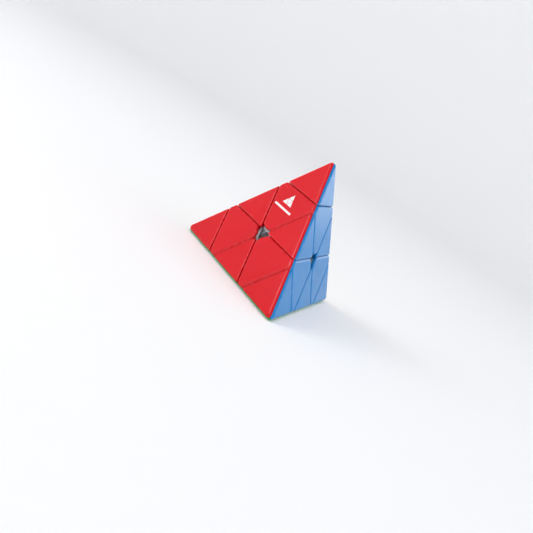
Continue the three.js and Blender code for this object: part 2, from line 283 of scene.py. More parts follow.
class PuzzleMark(bpy.types.PropertyGroup):
    """Sizes and places of the printed mark on its face, in millimetres from the face's middle."""

    triangle: setting("Triangle", "Side of the triangle", 8.4)
    triangle_at: setting("Triangle at", "Height of its middle", 23.2)
    gap: setting("Gap", "Gap between its small triangles", 0.45)
    bar: setting("Bar", "Length of the bar", 16.0)
    bar_height: setting("Bar height", "Height of the bar", 1.2)
    bar_at: setting("Bar at", "Height of the bar's middle", 17.9)
    across: setting("Across", "Sideways place of both", -1.5)
    film: setting("Film", "Thickness of the ink", 0.02)


class PuzzleStage(bpy.types.PropertyGroup):
    """Where the camera and the lights stand."""

    azimuth: angle_setting("Azimuth", "Camera's turn round the puzzle from the front", 46.2)
    elevation: angle_setting("Elevation", "Camera's height angle", 14.74)
    roll: angle_setting("Roll", "Camera's tilt about its own line", 31.6)
    distance: setting("Distance", "From the camera to the aim point", 0.389, unit="LENGTH")
    aim: bpy.props.FloatVectorProperty(
        name="Aim",
        description="Point the camera looks at",
        default=(0.0008, -0.0033, -0.0109),
        unit="LENGTH",
    )
    lens: setting("Lens", "Focal length", 45.64, subtype="DISTANCE_CAMERA")
    key: setting("Key", "Power of the main softbox", 3.6, unit="POWER")
    strip: setting("Strip", "Power of the low strip behind", 0.8, unit="POWER")
    side: setting("Side fill", "Power of the fill from the side", 3.5, unit="POWER")
    top: setting("Top fill", "Power of the fill from above", 12.0, unit="POWER")
    surround: setting("Surround", "Brightness of the room above the wall", 0.6)
    overhead: setting("Overhead", "Brightness straight above", 0.25)


# --- Shapes ---------------------------------------------------------------------------------------


def tetrahedron(face):
    """A sharp tetrahedron about the origin with a corner on +Z, as far from each face as given."""
    bm = bmesh.new()
    base = 2 * math.sqrt(2) * face
    bmesh.ops.create_cone(bm, cap_ends=True, segments=3, radius1=base, radius2=0, depth=4 * face)
    bmesh.ops.translate(bm, verts=bm.verts, vec=UP * face)
    bmesh.ops.recalc_face_normals(bm, faces=bm.faces)
    return bm


def face_outward(bm):
    """Makes the faces of a closed mesh face outward."""
    bmesh.ops.recalc_face_normals(bm, faces=bm.faces)
    if bm.calc_volume(signed=True) < 0:
        bmesh.ops.reverse_faces(bm, faces=bm.faces)


def bevel(bm, geom, size, steps, affect="EDGES"):
    """Rounds edges or corners off, and returns the new faces."""
    made = bmesh.ops.bevel(
        bm,
        geom=geom,
        offset=size,
        offset_type="OFFSET",
        segments=steps,
        profile=0.5,
        affect=affect,
        material=-1,
    )
    return made["faces"]


def rounded_tetrahedron(shape):
    """The puzzle's outline, whose edges and corners are true cylinders and balls."""
    bm = tetrahedron(FACE)
    inner = tetrahedron(FACE - EDGE_ROUND)
    bevel(bm, bm.edges[:], EDGE_ROUND * math.sqrt(2), shape.round_steps)
    core = BVHTree.FromBMesh(inner)
    for vert in bm.verts:
        nearest = core.find_nearest(vert.co)[0]
        vert.co = nearest + (vert.co - nearest).normalized() * EDGE_ROUND
    inner.free()
    return bm


def turn_to_edge(bm):
    """Turns a tetrahedron with a corner on +Z so that the middle of an edge is there instead."""
    lean = Matrix.Rotation(EDGE_ANGLE, 4, "Y")
    bmesh.ops.transform(bm, matrix=lean @ Matrix.Rotation(math.radians(90), 4, "Z"), verts=bm.verts)


def keep(bm, planes, kind=CUT):
    """Cuts away what is beyond each plane (normal, distance), and fills the cuts."""
    kinds = bm.faces.layers.int.get("kind") or bm.faces.layers.int.new("kind")
    for normal, distance in planes:
        geometry = bm.verts[:] + bm.edges[:] + bm.faces[:]
        cut = bmesh.ops.bisect_plane(
            bm, geom=geometry, dist=1e-5, plane_co=normal * distance, plane_no=normal, clear_outer=True
        )
        rim = [part for part in cut["geom_cut"] if isinstance(part, bmesh.types.BMEdge)]
        for face in bmesh.ops.edgeloop_fill(bm, edges=rim)["faces"] if rim else []:
            face[kinds] = kind
    face_outward(bm)


def below(normal, distance):
    """The plane that keeps what is short of a distance along a normal."""
    return normal.normalized(), distance / normal.length


def above(normal, distance):
    """The plane that keeps what is past a distance along a normal."""
    return below(-normal, -distance)


def round_rims(bm, kind, size, steps):
    """Rounds the edges between the outer surface and one kind of cut, and marks them as lips."""
    kinds = bm.faces.layers.int["kind"]
    lip = bm.faces.layers.float.get("lip") or bm.faces.layers.float.new("lip")
    rims = [edge for edge in bm.edges if {face[kinds] for face in edge.link_faces} == {OUTSIDE, kind}]
    for face in bevel(bm, rims, size, steps):
        face[lip] = 1.0
        face[kinds] = OUTSIDE
    face_outward(bm)


def star_corner(face_axis, towards, start, half):
    """The two planes that blunt a shell's corner, so that a star-shaped hole is left in a face."""
    middle = in_face(face_axis, towards)
    across = face_axis.cross(middle)
    return [
        above(middle * math.sin(half) + across * side * math.cos(half), start * math.sin(half))
        for side in (1, -1)
    ]


def seams(own, others, gap):
    """The planes between the shell on the face opposite one corner and the shells beside it."""
    return [below(own - other, -gap / 2 * (own - other).length) for other in others]


def block(planes):
    """A convex solid bounded by planes, cut from a cube beyond them all."""
    bm = bmesh.new()
    bmesh.ops.create_cube(bm, size=2 * FAR)
    keep(bm, planes)
    return bm


def ball(radius):
    """A fine ball about the origin."""
    bm = bmesh.new()
    bmesh.ops.create_uvsphere(bm, u_segments=BALL_STEPS, v_segments=BALL_STEPS // 2, radius=radius)
    return bm


def turned(outline, steps=BALL_STEPS):
    """A solid turned about +Z from (radius, height) points that start and end on the axis."""
    bm = bmesh.new()
    points = [bm.verts.new((radius, 0, height)) for radius, height in outline]
    lines = [bm.edges.new(pair) for pair in zip(points, points[1:])]
    bmesh.ops.spin(bm, geom=points + lines, axis=UP, cent=(0, 0, 0), angle=2 * math.pi, steps=steps)
    bmesh.ops.remove_doubles(bm, verts=bm.verts, dist=WELD)
    face_outward(bm)
    return bm


def rod(radius, start, end, chamfer=0.0):
    """A rod on +Z, with a chamfer round its far end."""
    rim = [(radius, end - chamfer), (radius - chamfer, end)] if chamfer else [(radius, end)]
    return turned([(0, start), (radius, start), *rim, (0, end)], ROD_STEPS)


def along(bm, axis):
    """Turns what was made on +Z to another axis."""
    turn = UP.rotation_difference(axis).to_matrix().to_4x4()
    bmesh.ops.transform(bm, matrix=turn, verts=bm.verts)
    return bm


def layer_cone(axis, grown):
    """The cone of one layer inside the feet's ball, grown by a distance all round."""
    apex = -grown / math.sin(FOOT_CONE)
    rim = (FAR * math.sin(FOOT_CONE), apex + FAR * math.cos(FOOT_CONE))
    return along(turned([(0, apex), rim, (rim[0], FAR), (0, FAR)]), axis)


def mesh_object(name, mesh):
    """A new object in the scene that holds a mesh."""
    made = bpy.data.objects.new(name, mesh)
    bpy.context.scene.collection.objects.link(made)
    return made


def bmesh_object(name, bm):
    """A new object in the scene that holds a bmesh, which is used up."""
    mesh = bpy.data.meshes.new(name)
    bm.to_mesh(mesh)
    bm.free()
    return mesh_object(name, mesh)


def evaluated(source):
    """A copy of an object's mesh with its modifiers applied. The object is removed."""
    graph = bpy.context.evaluated_depsgraph_get()
    mesh = bpy.data.meshes.new_from_object(source.evaluated_get(graph))
    bpy.data.objects.remove(source)
    return mesh


def combine(body, steps):
    """Applies (operation, tool) steps to a body: UNION, INTERSECT or DIFFERENCE. Uses the bmeshes up."""
    whole = bmesh_object("whole", body)
    tools = []
    for operation, tool in steps:
        kinds = tool.faces.layers.int.get("kind") or tool.faces.layers.int.new("kind")
        for face in tool.faces:
            face[kinds] = CUT
        tools.append(bmesh_object("tool", tool))
        join = whole.modifiers.new(operation, "BOOLEAN")
        join.operation = operation
        join.solver = "EXACT"
        join.object = tools[-1]
    made = bmesh.new()
    made.from_mesh(evaluated(whole))
    bmesh.ops.remove_doubles(made, verts=made.verts, dist=WELD)
    for tool in tools:
        bpy.data.objects.remove(tool)
    if not made.faces:
        raise RuntimeError("a boolean step left nothing")
    return made


def finished_mesh(bm):
    """Flat faces, smooth roundings and sharp corners, in a mesh ready to place."""
    piece = bmesh_object("finished", bm)
    piece.data.shade_smooth()
    piece.data.set_sharp_from_angle(angle=SHARP_ANGLE)
    weighted = piece.modifiers.new("weighted", "WEIGHTED_NORMAL")
    weighted.keep_sharp = True
    weighted.weight = 100
    return evaluated(piece)


# --- The coloured shells --------------------------------------------------------------------------


def tip_shell(shape):
    """One colour's share of a tip: a leaf over one face that grows solid towards the corner."""
    body = rounded_tetrahedron(shape)
    keep(body, [above(UP, TIP_FLOOR - shape.snug)])
    round_rims(body, CUT, shape.lip, shape.lip_steps)
    keep(body, seams(CORNER_OTHERS[0], CORNER_OTHERS[1:], shape.seam), SEAM)
    hollow = block(
        [above(UP, TIP_FLOOR - 1), below(UP, 3 * FACE - shape.tip_depth)]
        + [above(axis, shape.wall - FACE) for axis in CORNER_OTHERS]
    )
    shell = combine(body, [("DIFFERENCE", hollow)])
    round_rims(shell, SEAM, shape.seam_lip, SEAM_LIP_STEPS)
    return shell


def centre_shell(shape):
    """One colour's share of a centre piece: a plate with its share of the side walls."""
    body = rounded_tetrahedron(shape)
    keep(body, [above(UP, CENTRE_FLOOR - shape.snug), below(UP, CENTRE_TOP + shape.snug)])
    keep(body, [below(axis, CENTRE_SIDE + shape.snug) for axis in CORNER_OTHERS])
    for axis in CORNER_OTHERS:
        keep(body, star_corner(axis, UP, shape.centre_star, shape.centre_star_half))
    round_rims(body, CUT, shape.lip, shape.lip_steps)
    keep(body, seams(CORNER_OTHERS[0], CORNER_OTHERS[1:], shape.seam), SEAM)
    hollow = block(
        [above(axis, shape.wall - FACE) for axis in CORNER_OTHERS]
        + [below(axis, CENTRE_SIDE - shape.side_wall) for axis in CORNER_OTHERS]
    )
    shell = combine(body, [("DIFFERENCE", hollow), ("DIFFERENCE", ball(shape.dome))])
    round_rims(shell, SEAM, shape.seam_lip, SEAM_LIP_STEPS)
    return shell


def edge_shell(shape):
    """One colour's half of an edge piece: a triangle with a wall down each cut."""
    near, far = EDGE_SIDES
    body = rounded_tetrahedron(shape)
    turn_to_edge(body)
    keep(body, [above(axis, CENTRE_FLOOR - shape.snug) for axis in EDGE_ENDS])
    for axis in EDGE_SIDES:
        keep(body, star_corner(axis, UP, shape.edge_star, shape.edge_star_half))
    round_rims(body, CUT, shape.lip, shape.lip_steps)
    keep(body, seams(near, [far], shape.seam), SEAM)
    hollow = block(
        [above(axis, CENTRE_FLOOR + shape.side_wall) for axis in EDGE_ENDS]
        + [above(axis, shape.wall - FACE) for axis in EDGE_SIDES]
    )
    shell = combine(body, [("DIFFERENCE", hollow), ("DIFFERENCE", ball(shape.dome))])
    round_rims(shell, SEAM, shape.seam_lip, SEAM_LIP_STEPS)
    return shell


# --- The mouldings and metal inside ---------------------------------------------------------------


def inside_faces(axes, shape):
    """The planes that bound what fits behind the shells on the faces opposite some corners."""
    return [above(axis, shape.wall + FIT - FACE) for axis in axes]


def tip_moulding(shape):
    """A tip's floor, with a ring that centres the spring and a hole for the screw."""
    inner, outer, height = COLLAR
    top = TIP_FLOOR + TIP_PLATE
    floor = block([above(UP, TIP_FLOOR), below(UP, top), *inside_faces(CORNER_OTHERS, shape)])
    bevel(floor, floor.edges[:], EASE, 2)
    ring = rod(outer, top - 1, top + height, EASE_RING)
    return combine(
        floor,
        [
            ("UNION", ring),
            ("DIFFERENCE", rod(inner, top, FAR)),
            ("DIFFERENCE", rod(SHANK + RUNNING, 0, FAR)),
        ],
    )


def centre_moulding(shape):
    """A bell that turns on the post, a dome over the feet, and a stem that carries the shells."""
    sides = inside_faces(CORNER_OTHERS, shape)
    dome = block(
        [above(UP, CENTRE_FLOOR), *sides] + [below(axis, CENTRE_SIDE) for axis in CORNER_OTHERS]
    )
    stem = block(
        [above(UP, CENTRE_FLOOR), below(UP, CENTRE_TOP), *sides]
        + [below(axis, CENTRE_SIDE - shape.side_wall - FIT) for axis in CORNER_OTHERS]
    )
    cone = turned([(0, CORE_BALL), (FOOT_BALL, 0.6 * FOOT_BALL), (FOOT_BALL, FAR), (0, FAR)])
    bell = combine(ball(FOOT_BALL), [("INTERSECT", cone)])
    half_gap = CUT_GAP / 2
    passing = [
        combine(ball(FOOT_BALL + half_gap), [("INTERSECT", layer_cone(axis, half_gap))])
        for axis in CORNER_OTHERS
    ]
    radius, start, end = HOLLOW
    away = [
        *passing,
        ball(CORE_SPACE),
        rod(POST_RADIUS + RUNNING, 0, POST_TOP + FIT),
        rod(SHANK + RUNNING, 0, FAR),
        rod(radius, start, end),
    ]
    return combine(
        dome,
        [("INTERSECT", ball(DOME_BALL)), ("UNION", stem), ("UNION", bell)]
        + [("DIFFERENCE", tool) for tool in away],
    )


def edge_moulding(shape):
    """A plug inside the shells, a neck, and the foot that the domes hold in."""
    half_gap = CUT_GAP / 2
    sides = inside_faces(EDGE_SIDES, shape)
    neck = block([above(axis, CENTRE_FLOOR) for axis in EDGE_ENDS] + sides)
    plug = block(
        [above(axis, CENTRE_FLOOR + shape.side_wall + FIT) for axis in EDGE_ENDS]
        + [*sides, below(UP, DOME_BALL + PLUG_DEPTH)]
    )
    foot = combine(
        ball(FOOT_BALL - half_gap),
        [("INTERSECT", layer_cone(axis, -half_gap)) for axis in EDGE_ENDS]
        + [("DIFFERENCE", layer_cone(axis, half_gap)) for axis in EDGE_SIDES],
    )
    return combine(
        neck,
        [
            ("INTERSECT", ball(DOME_BALL)),
            ("UNION", plug),
            ("UNION", foot),
            ("DIFFERENCE", ball(CORE_SPACE)),
        ],
    )


def core_moulding():
    """The spider: a ball with a post and a screw hole on each turn axis."""
    posts = [
        ("UNION", along(rod(POST_RADIUS, 0.6 * CORE_BALL, POST_TOP, EASE_POST), axis))
        for axis in AXES.values()
    ]
    holes = [
        ("DIFFERENCE", along(rod(SHANK + RUNNING, SCREW_TIP - 1, POST_TOP + 1), axis))
        for axis in AXES.values()
    ]
    return combine(ball(CORE_BALL), posts + holes)


def mark_height(bm):
    """Stores each point's height, which the turned and drawn metal's marks follow."""
    height = bm.verts.layers.float.new("height")
    for vert in bm.verts:
        vert[height] = vert.co.z
    return bm


def screw_metal():
    """A pan-head screw with a cross, a plain shank and a thread in the post."""
    root, crest, pitch = THREAD
    length, width, depth = CROSS
    head = SCREW_TOP - HEAD_HEIGHT
    body = turned(
        [
            (0, SCREW_TIP),
            (0.5 * root, SCREW_TIP),
            (root, SCREW_TIP + 1.2),
            (root, POST_TOP - 0.6),
            (SHANK, POST_TOP),
            (SHANK, head),
            (SCREW_HEAD - 0.15, head),
            (SCREW_HEAD, head + 0.15),
            (SCREW_HEAD, SCREW_TOP - 0.9),
            (0.94 * SCREW_HEAD, SCREW_TOP - 0.5),
            (0.75 * SCREW_HEAD, SCREW_TOP - 0.15),
            (0.4 * SCREW_HEAD, SCREW_TOP),
            (0, SCREW_TOP),
        ],
        ROD_STEPS,
    )
    blades = []
    for size in ((length, width), (width, length)):
        blade = bmesh.new()
        bmesh.ops.create_cube(blade, size=1)
        bmesh.ops.scale(blade, verts=blade.verts, vec=(*size, 2 * depth))
        foot = [vert for vert in blade.verts if vert.co.z < 0]
        bmesh.ops.scale(blade, verts=foot, vec=(0.7, 0.7, 1))
        bmesh.ops.translate(blade, verts=blade.verts, vec=UP * SCREW_TOP)
        blades.append(("DIFFERENCE", blade))
    screw = combine(body, blades)
    ridge = [
        screw.verts.new((radius, 0, SCREW_TIP + 1.2 + rise))
        for radius, rise in ((root - 0.05, 0), (crest, 0.3 * pitch), (root - 0.05, 0.6 * pitch))
    ]
    loop = [screw.edges.new((ridge[n - 1], ridge[n])) for n in range(3)]
    ends = [screw.faces.new(ridge)]
    turns = (POST_TOP - 0.8 - SCREW_TIP - 1.2) / pitch - 1
    steps = round(THREAD_STEPS * turns)
    bmesh.ops.spin(
        screw,
        geom=ridge + loop + ends,
        axis=UP,
        cent=(0, 0, 0),
        dvec=UP * pitch / THREAD_STEPS,
        angle=2 * math.pi * steps / THREAD_STEPS,
        steps=steps,
    )
    face_outward(screw)
    return mark_height(screw)


def spring_metal():
    """A round-wire compression spring whose turns close up at both ends."""
    bm = bmesh.new()
    steps = round(THREAD_STEPS * SPRING_TURNS)
    bmesh.ops.create_circle(bm, segments=12, radius=WIRE)
    upright = Matrix.Translation((COIL, 0, SPRING_FOOT)) @ Matrix.Rotation(math.pi / 2, 4, "X")
    bmesh.ops.transform(bm, matrix=upright, verts=bm.verts)
    ring = bm.verts[:] + bm.edges[:]
    caps = [bm.edges[:]]
    risen = [
        SPRING_LENGTH * (t - SPRING_CLOSING * math.sin(2 * math.pi * t) / (2 * math.pi))
        for t in (step / steps for step in range(steps + 1))
    ]
    for start, end in zip(risen, risen[1:]):
        made = bmesh.ops.spin(
            bm,
            geom=ring,
            axis=UP,
            cent=(0, 0, 0),
            dvec=UP * (end - start),
            angle=2 * math.pi / THREAD_STEPS,
            steps=1,
        )
        ring = [part for part in made["geom_last"] if not isinstance(part, bmesh.types.BMFace)]
    caps.append([part for part in ring if isinstance(part, bmesh.types.BMEdge)])
    for rim in caps:
        bmesh.ops.edgeloop_fill(bm, edges=rim)
    face_outward(bm)
    return mark_height(bm)


def printed_mark(mark):
    """A plain device in the face's plane: a triangle of four small triangles over a short bar."""
    bm = bmesh.new()
    side = mark.triangle
    reach = (side / 2 - mark.gap) / math.sqrt(3)
    rise = side * math.sqrt(3) / 2
    centre = Matrix.Translation((mark.across, mark.triangle_at, 0))
    spots = [(0, rise / 3), (-side / 4, -rise / 6), (side / 4, -rise / 6)]
    places = [Matrix.Translation((*spot, 0)) for spot in spots] + [Matrix.Rotation(math.pi, 4, "Z")]
    for spot in places:
        bmesh.ops.create_circle(bm, cap_ends=True, segments=3, radius=reach, matrix=centre @ spot)
    bar = bmesh.ops.create_grid(bm, x_segments=1, y_segments=1, size=0.5)["verts"]
    bmesh.ops.scale(bm, verts=bar, vec=(mark.bar, mark.bar_height, 1))
    bmesh.ops.translate(bm, verts=bar, vec=(mark.across, mark.bar_at, 0))
    bevel(bm, bar, mark.bar_height / 2, BAR_END_STEPS, "VERTICES")
    bmesh.ops.remove_doubles(bm, verts=bm.verts, dist=1e-4)
    film = bmesh.ops.extrude_face_region(bm, geom=bm.faces[:])["geom"]
    raised = [part for part in film if isinstance(part, bmesh.types.BMVert)]
    bmesh.ops.translate(bm, verts=raised, vec=UP * mark.film)
    face_outward(bm)
    return bm


# --- Finishes -------------------------------------------------------------------------------------

# How fine each texture is, in cycles per metre unless a comment says otherwise
WAVES = 210
GRAIN = 5200
SPECKS = 1900
DRIFT = 42
GLOSS = 150
RUBBED_PATCHES = 420
SCRATCHED_AREAS = 55
SCRATCHES = (45, 2400, 2400)  # along a scratch and across it
STAINS = 700
RINGS = 14  # cycles per millimetre of a screw's or a spring's height
SCRATCH_TURNS = [(0.6, 0.4, 1.1), (0.2, 1.3, 2.3)]  # two ways that hairline scratches run

# How deep each texture is, in metres
WAVE_DEPTH = 0.00002
GRAIN_DEPTH = 0.000002
RING_DEPTH = 0.000004

# How much rubbing pales a colour, and how much a scratch dulls it
RUB = 0.03
SCRATCH = 0.07

# What an effect for a whole surface puts out
SKIN_OUTPUTS = {"Normal": "Vector", "Tone": "Float", "Gloss": "Float"}


def add(tree, kind, inputs, **settings):
    """Adds a node with its properties, and with values or other nodes' outputs as inputs."""
    node = tree.nodes.new(kind)
    for name, value in settings.items():
        setattr(node, name, value)
    for name, value in inputs.items():
        if isinstance(value, bpy.types.NodeSocket):
            tree.links.new(value, node.inputs[name])
        else:
            node.inputs[name].default_value = value
    return node


def noise(tree, where, scale, detail):
    """Noise between 0 and 1 with a scale in cycles per metre."""
    inputs = {"Vector": where, "Scale": scale, "Detail": detail}
    return add(tree, "ShaderNodeTexNoise", inputs).outputs["Fac"]


def fitted(tree, value, start, end, low_out=0.0, high_out=1.0):
    """A value's range stretched to another range and clamped there."""
    ends = {"From Min": start, "From Max": end, "To Min": low_out, "To Max": high_out}
    return add(tree, "ShaderNodeMapRange", {"Value": value, **ends}).outputs["Result"]


def product(tree, one, two):
    """Two values multiplied."""
    return add(tree, "ShaderNodeMath", {0: one, 1: two}, operation="MULTIPLY").outputs["Value"]


def bumped(tree, height, distance, strength, normal=None):
    """A normal tilted by a height map, on top of another one."""
    inputs = {"Height": height, "Distance": distance, "Strength": strength}
    if normal is not None:
        inputs["Normal"] = normal
    return add(tree, "ShaderNodeBump", inputs).outputs["Normal"]


def new_group(name, inputs, outputs):
    """An empty node group with inputs (name: default) and outputs (name: kind), and its ends."""
    tree = bpy.data.node_groups.new(name, "ShaderNodeTree")
    for label, default in inputs.items():
        socket = tree.interface.new_socket(label, in_out="INPUT", socket_type="NodeSocketFloat")
        socket.default_value = default
    for label, kind in outputs.items():
        tree.interface.new_socket(label, in_out="OUTPUT", socket_type=f"NodeSocket{kind}")
    return tree, tree.nodes.new("NodeGroupInput").outputs, tree.nodes.new("NodeGroupOutput").inputs


def moulded_skin():
    """The skin of moulded plastic: slow waves, a fine grain, and slight changes of tone and gloss."""
    tree, given, made = new_group("moulded skin", {"Waves": 1.0, "Grain": 1.0}, SKIN_OUTPUTS)
    where = add(tree, "ShaderNodeTexCoord", {}).outputs["Object"]
    waves = bumped(tree, noise(tree, where, WAVES, 1.5), WAVE_DEPTH, given["Waves"])
    grained = bumped(tree, noise(tree, where, GRAIN, 2), GRAIN_DEPTH, given["Grain"], waves)
    specks = fitted(tree, noise(tree, where, SPECKS, 1), 0.74, 0.8, 0, 0.035)
    drift = fitted(tree, noise(tree, where, DRIFT, 3), 0.3, 0.7, 0.965, 1.02)
    tone = add(tree, "ShaderNodeMath", {0: drift, 1: specks}, operation="SUBTRACT").outputs["Value"]
    tree.links.new(grained, made["Normal"])
    tree.links.new(tone, made["Tone"])
    tree.links.new(fitted(tree, noise(tree, where, GLOSS, 4), 0.3, 0.7), made["Gloss"])
    return tree


def handling_wear():
    """Where fingers and neighbours rub: patches on the cuts' lips, and a few hairline scratches."""
    tree, given, made = new_group("handling wear", {"Amount": 1.0}, {"Rub": "Float", "Scratch": "Float"})
    where = add(tree, "ShaderNodeTexCoord", {}).outputs["Object"]
    lips = add(tree, "ShaderNodeAttribute", {}, attribute_name="lip").outputs["Fac"]
    patches = fitted(tree, noise(tree, where, RUBBED_PATCHES, 3), 0.42, 0.68)
    areas = fitted(tree, noise(tree, where, SCRATCHED_AREAS, 2), 0.45, 0.65)
    lines = None
    for turn in SCRATCH_TURNS:
        combed = add(tree, "ShaderNodeMapping", {"Vector": where, "Rotation": turn, "Scale": SCRATCHES})
        line = fitted(tree, noise(tree, combed.outputs["Vector"], 1, 0), 0.76, 0.8)
        if lines is None:
            lines = line
        else:
            most = add(tree, "ShaderNodeMath", {0: lines, 1: line}, operation="MAXIMUM")
            lines = most.outputs["Value"]
    tree.links.new(product(tree, product(tree, lips, patches), given["Amount"]), made["Rub"])
    tree.links.new(product(tree, product(tree, lines, areas), given["Amount"]), made["Scratch"])
    return tree


def worked_metal():
    """Fine rings that turning or drawing leaves, told by the height stored on each point."""
    tree, given, made = new_group("worked metal", {"Depth": 1.0}, SKIN_OUTPUTS)
    where = add(tree, "ShaderNodeTexCoord", {}).outputs["Object"]
    height = add(tree, "ShaderNodeAttribute", {}, attribute_name="height").outputs["Fac"]
    rings = add(
        tree, "ShaderNodeTexNoise", {"W": height, "Scale": RINGS, "Detail": 3}, noise_dimensions="1D"
    )
    stain = noise(tree, where, STAINS, 3)
    tree.links.new(bumped(tree, rings.outputs["Fac"], RING_DEPTH, given["Depth"]), made["Normal"])
    tree.links.new(fitted(tree, stain, 0.35, 0.7, 0.86, 1.0), made["Tone"])
    tree.links.new(fitted(tree, rings.outputs["Fac"], 0.3, 0.7), made["Gloss"])
    return tree


def effect(tree, make, settings):
    """A node that uses an effect group, which is made on first use."""
    name = make.__name__.replace("_", " ")
    node = add(tree, "ShaderNodeGroup", {}, node_tree=bpy.data.node_groups.get(name) or make())
    for label, value in settings.items():
        node.inputs[label].default_value = value
    return node.outputs


def toned(tree, colour, tone):
    """A constant colour made lighter or darker by a tone."""
    shade = add(tree, "ShaderNodeHueSaturation", {"Value": tone, "Color": (*colour, 1)})
    return shade.outputs["Color"]


def new_material(name):
    """An empty material. Returns it with its tree and its shader."""
    material = bpy.data.materials.new(name)
    material.use_nodes = True
    return material, material.node_tree, material.node_tree.nodes["Principled BSDF"]


def shell_plastic(name, colour):
    """Glossy coloured plastic with a soft skin, paler where it rubs."""
    material, tree, shader = new_material(name)
    skin = effect(tree, moulded_skin, {"Waves": 0.6, "Grain": 0.5})
    wear = effect(tree, handling_wear, {"Amount": 1.0})
    rubbed = add(
        tree,
        "ShaderNodeMix",
        {
            "Factor": product(tree, wear["Rub"], RUB),
            "A": toned(tree, colour, skin["Tone"]),
            "B": (1, 1, 1, 1),
        },
        data_type="RGBA",
    )
    gloss = fitted(tree, skin["Gloss"], 0, 1, 0.2, 0.25)
    scratched = {0: wear["Scratch"], 1: SCRATCH, 2: gloss}
    dulled = add(tree, "ShaderNodeMath", scratched, operation="MULTIPLY_ADD")
    tree.links.new(rubbed.outputs["Result"], shader.inputs["Base Color"])
    tree.links.new(dulled.outputs["Value"], shader.inputs["Roughness"])
    tree.links.new(skin["Normal"], shader.inputs["Normal"])
    shader.inputs["IOR"].default_value = 1.32
    shader.inputs["Subsurface Weight"].default_value = 0.3
    shader.inputs["Subsurface Radius"].default_value = (1.0, 0.6, 0.5)
    shader.inputs["Subsurface Scale"].default_value = 0.0008
    return material


def inner_plastic(name, colour):
    """Satin grey plastic straight from the mould, with a coarser grain."""
    material, tree, shader = new_material(name)
    skin = effect(tree, moulded_skin, {"Waves": 1.0, "Grain": 2.0})
    tree.links.new(toned(tree, colour, skin["Tone"]), shader.inputs["Base Color"])
    tree.links.new(fitted(tree, skin["Gloss"], 0, 1, 0.36, 0.48), shader.inputs["Roughness"])
    tree.links.new(skin["Normal"], shader.inputs["Normal"])
    return material


def bright_steel(name, colour):
    """Plated steel with the marks of its making."""
    material, tree, shader = new_material(name)
    marks = effect(tree, worked_metal, {"Depth": 1.0})
    tree.links.new(toned(tree, colour, marks["Tone"]), shader.inputs["Base Color"])
    tree.links.new(fitted(tree, marks["Gloss"], 0, 1, 0.2, 0.34), shader.inputs["Roughness"])
    tree.links.new(marks["Normal"], shader.inputs["Normal"])
    shader.inputs["Metallic"].default_value = 1
    return material


def white_ink(name, colour):
    """Pad-printed ink with a slightly uneven film."""
    material, tree, shader = new_material(name)
    skin = effect(tree, moulded_skin, {"Waves": 0.6, "Grain": 1.5})
    tree.links.new(toned(tree, colour, skin["Tone"]), shader.inputs["Base Color"])
    tree.links.new(fitted(tree, skin["Gloss"], 0, 1, 0.3, 0.42), shader.inputs["Roughness"])
    tree.links.new(skin["Normal"], shader.inputs["Normal"])
    return material


# The look, the frame's slot and the maker of each finish
FINISHES = {
    "red": ("red_plastic", shell_plastic),
    "blue": ("blue_plastic", shell_plastic),
    "yellow": ("yellow_plastic", shell_plastic),
    "green": ("green_plastic", shell_plastic),
    "grey": ("internal_plastic", inner_plastic),
    "steel": ("steel", bright_steel),
    "ink": (None, white_ink),
}


def finish(piece, look):
    """Gives a piece one of the finishes, which is made on first use."""
    slot, make = FINISHES[look]
    name = f"{look} finish"
    colour = getattr(bpy.context.scene.puzzle_colours, look)
    piece.data.materials.clear()
    piece.data.materials.append(bpy.data.materials.get(name) or make(name, colour))


# --- Placing --------------------------------------------------------------------------------------

BODY_OF = {
    node: body for body, nodes in frame["record"]["behaviour"]["bodies"].items() for node in nodes
}


def place(source, matrix, node, look):
    """Puts a copy of a modelled mesh in place of a CAD node, on the node's body."""
    mesh = source.copy()
    mesh.transform(Matrix.Scale(MM, 4) @ matrix)
    piece = mesh_object(f"{node}_piece", mesh)
    mesh.name = piece.name
    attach(piece, BODY_OF[node])
    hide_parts(node)
    finish(piece, look)


def place_on_corners(source, node_name, look):
    """Puts a piece on each of the four turn axes."""
    for name in AXES:
        place(source, corner_frame(name), node_name.format(name), look)


def place_round_corners(source, kind):
    """Puts a shell on each of the three faces round each corner."""
    for name in AXES:
        for step, other in enumerate(others_of(name)):
            colour = OPPOSITE[other]
            place(source, corner_frame(name, step * FACE_TURN), f"{kind}_{name}_{colour}", colour)


def edge_pairs():
    """The two corners of each edge, in the frame's order."""
    names = list(AXES)
    return [(one, two) for n, one in enumerate(names) for two in names[n + 1 :]]


def place_along_edges(source):
    """Puts a shell on each of the two faces of each edge."""
    for one, two in edge_pairs():
        across = edge_frame(one, two) @ Vector((0, 1, 0))
        for other in (name for name in AXES if name not in (one, two)):
            colour = OPPOSITE[other]
            turn = 0 if AXES[other].dot(across) > 0 else math.pi
            place(source, edge_frame(one, two, turn), f"edge_{one}_{two}_{colour}", colour)


# --- Operators ------------------------------------------------------------------------------------


class PUZZLE_OT_tips(bpy.types.Operator):
    """Model the four tips: coloured shells and grey floors"""

    bl_idname = "puzzle.tips"
    bl_label = "Tips"

    def execute(self, context):
        shape = context.scene.puzzle_shape
        place_round_corners(finished_mesh(tip_shell(shape)), "tip")
        place_on_corners(finished_mesh(tip_moulding(shape)), "tip_{}_base", "grey")
        return {"FINISHED"}


class PUZZLE_OT_centres(bpy.types.Operator):
    """Model the four centre pieces: coloured shells and grey domes"""

    bl_idname = "puzzle.centres"
    bl_label = "Centre pieces"

    def execute(self, context):
        shape = context.scene.puzzle_shape
        place_round_corners(finished_mesh(centre_shell(shape)), "center")
        place_on_corners(finished_mesh(centre_moulding(shape)), "center_{}_base", "grey")
        return {"FINISHED"}


